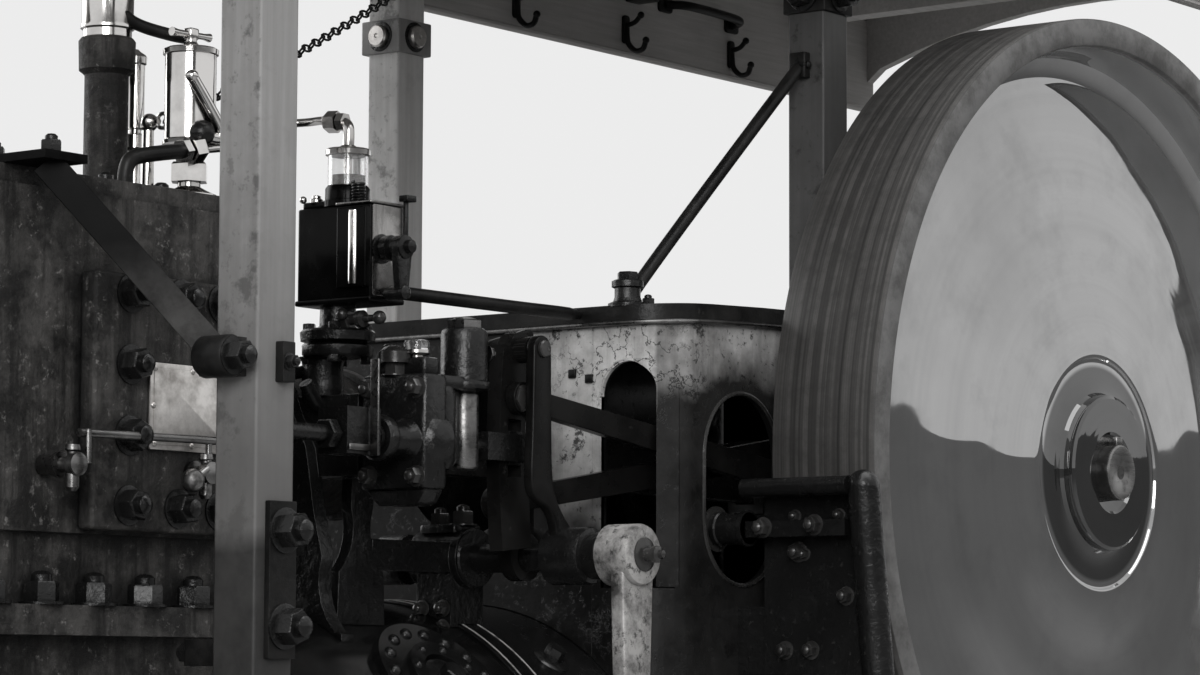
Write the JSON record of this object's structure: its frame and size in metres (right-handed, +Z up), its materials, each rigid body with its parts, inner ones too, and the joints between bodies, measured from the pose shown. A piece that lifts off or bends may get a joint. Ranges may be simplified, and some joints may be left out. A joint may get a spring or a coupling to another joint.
{
  "type": "steam traction engine motion unit",
  "caption": "Engine unit of a steam traction engine: boiler, side plates, cylinder, link valve gear, crankshaft, dished flywheel, posts and canopy.",
  "frame": {"origin": "centre of the hind axle bore, midway between the side plates", "axes": "+X forward along the boiler, +Y left to the flywheel side, +Z up"},
  "size_m": [3.18, 1.118, 2.216],
  "materials": {
    "boiler_black": "gloss black paint on sheet cladding",
    "frame_black": "worn black paint",
    "plate_grey": "pale mottled paint over plate",
    "rough_iron": "rough casting with old paint and soot",
    "bright_steel": "machined and oiled",
    "oily_steel": "greasy, dark",
    "polished_brass": "polished",
    "wheel_black": "mirror gloss black paint, bare rim",
    "post_grey": "pale grey paint, stained",
    "canopy_paint": "painted boards",
    "oiler_black": "enamel black",
    "cup_glass": "clear"
  },
  "bodies": {
    "engine": {"barrel": "boiler_black", "boiler_bands": "boiler_black", "tube_plate": "rough_iron", "firebox": "boiler_black", "foundation_ring": "rough_iron", "grate": "rough_iron", "firehole_ring": "rough_iron", "side_plate_left": "plate_grey", "side_plate_right": "plate_grey", "front_plate": "plate_grey", "top_cover": "frame_black", "crankshaft": "oily_steel", "crank_bearing_left": "rough_iron", "crank_bearing_right": "rough_iron", "second_bearings": "rough_iron", "connecting_rod": "bright_steel", "crosshead": "oily_steel", "trunk_guide": "rough_iron", "motion_bracket": "frame_black", "valve_guide": "frame_black", "guide_column": "frame_black", "valve_rod": "bright_steel", "expansion_link": "bright_steel", "eccentric_rod_upper": "bright_steel", "eccentric_rod_lower": "bright_steel", "lifting_lever": "bright_steel", "weighshaft": "oily_steel", "cylinder_block": "rough_iron", "chest_cover": "rough_iron", "blank_plate": "polished_brass", "safety_valve": "rough_iron", "whistle": "polished_brass", "lubricator": "polished_brass", "oiler": "oiler_black", "oiler_stand": "oily_steel", "oiler_glass": "cup_glass", "post_front_left": "post_grey", "post_front_right": "post_grey", "post_rear_left": "post_grey", "post_rear_right": "post_grey", "post_brackets": "frame_black", "brace_bars": "frame_black", "side_board_left": "canopy_paint", "side_board_right": "canopy_paint", "end_boards": "canopy_paint", "roof_ribs": "canopy_paint", "roof": "canopy_paint", "stay_tube": "frame_black", "hand_tube": "frame_black", "wheel_guard": "frame_black", "washout": "boiler_black", "backhead_fittings": "polished_brass"},
    "flywheel": {"flywheel": "wheel_black"},
    "second_shaft": {"second_shaft": "oily_steel"},
    "door": {"firehole_door": "frame_black"}
  },
  "joints": [
    {"name": "flywheel_turn", "type": "hinge", "parent": "engine", "child": "flywheel", "pos_m": [0.56, 0.47, 0.64], "axis": [0, 1, 0], "continuous": true},
    {"name": "second_shaft_turn", "type": "hinge", "parent": "engine", "child": "second_shaft", "pos_m": [0.26, 0, 0.53], "axis": [0, 1, 0], "continuous": true},
    {"name": "door_swing", "type": "hinge", "parent": "engine", "child": "door", "pos_m": [0.102, 0.197, -0.12], "axis": [0, 0, 1], "range_deg": [-95, 0]}
  ]
}
